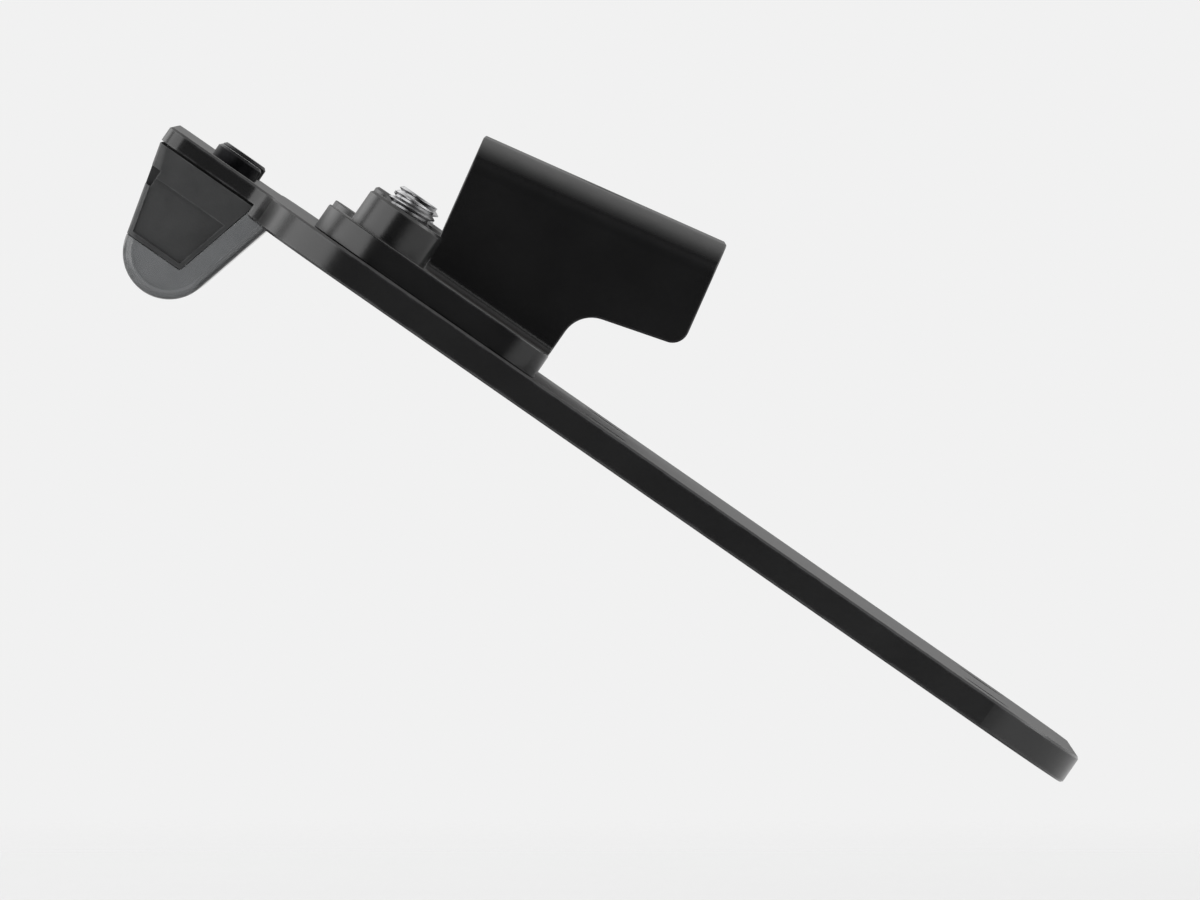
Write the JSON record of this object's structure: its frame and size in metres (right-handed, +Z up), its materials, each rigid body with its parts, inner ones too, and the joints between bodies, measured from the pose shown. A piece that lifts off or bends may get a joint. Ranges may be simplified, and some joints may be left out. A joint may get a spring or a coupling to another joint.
{
  "type": "motorbike tail tidy",
  "caption": "Folded undertail bracket with a sloping number-plate hanger and a small plate lamp at its rear edge.",
  "frame": {"origin": "midway between the two undertail bolt holes, on the bracket's mounting face", "axes": "+X forward along the motorbike, +Y to its left, +Z up"},
  "size_m": [0.1115, 0.092, 0.0763],
  "materials": {
    "bracket_black": "satin",
    "hanger_black": "satin",
    "black_steel": "satin",
    "housing_black": "satin",
    "clear_lens": "gloss",
    "black_rubber": "matte",
    "insert_brass": "satin",
    "bolt_steel": "satin",
    "board_green": "satin",
    "led_yellow": "satin"
  },
  "bodies": {
    "root": {"undertail_bracket": "bracket_black", "web_bush": "black_rubber", "plate_hanger": "hanger_black", "hanger_bolts": "bolt_steel", "press_nuts": "bracket_black", "lamp_gasket": "black_rubber", "lamp_housing": "housing_black", "lamp_lens": "clear_lens", "lamp_board": "board_green", "lamp_leds": "led_yellow", "lamp_inserts": "insert_brass", "lamp_screws": "black_steel", "lead_bush": "black_rubber"}
  },
  "joints": []
}
